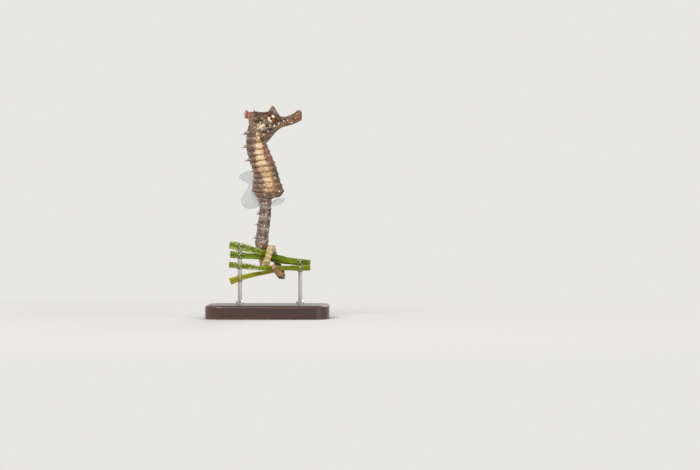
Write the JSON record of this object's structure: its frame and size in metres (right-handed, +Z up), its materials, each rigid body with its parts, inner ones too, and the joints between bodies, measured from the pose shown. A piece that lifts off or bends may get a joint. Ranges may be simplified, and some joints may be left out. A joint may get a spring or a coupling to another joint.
{
  "type": "young seahorse on a display stand",
  "caption": "Life-size still model of a young upright seahorse with its tail wound round cut seagrass leaves, held by a plain flat base and two thin rods.",
  "frame": {"origin": "middle of the underside of the stand's base", "axes": "+Z up; +X the way the snout points; -Y is the animal's right side"},
  "size_m": [0.036, 0.024, 0.0624],
  "materials": {
    "skin": "matte, bony rings under thin skin",
    "fin": "thin, clear, rayed",
    "eye": "wet gloss",
    "leaf": "satin",
    "leaf_yellow": "satin",
    "stand_wood": "satin",
    "stand_metal": "fine brushed"
  },
  "bodies": {
    "root": {"head": "skin", "snout": "skin", "gill_cover_left": "skin", "gill_cover_right": "skin", "coronet": "skin", "eye_left": "eye", "eye_right": "eye", "neck": "skin", "trunk_upper": "skin", "trunk_lower": "skin", "tail_root": "skin", "tail_upper": "skin", "tail_middle": "skin", "tail_behind_leaves": "skin", "tail_under_upper_leaves": "skin", "tail_front": "skin", "tail_over_leaves": "skin", "tail_down_behind": "skin", "tail_under_leaves": "skin", "tail_tip": "skin", "fin_dorsal": "fin", "fin_anal": "fin", "fin_pectoral_left": "fin", "fin_pectoral_right": "fin", "leaf_top": "leaf", "leaf_upper": "leaf", "leaf_lower": "leaf", "leaf_bottom": "leaf_yellow", "stand_base": "stand_wood", "stand_rod_left": "stand_metal", "stand_rod_right": "stand_metal"}
  },
  "joints": []
}
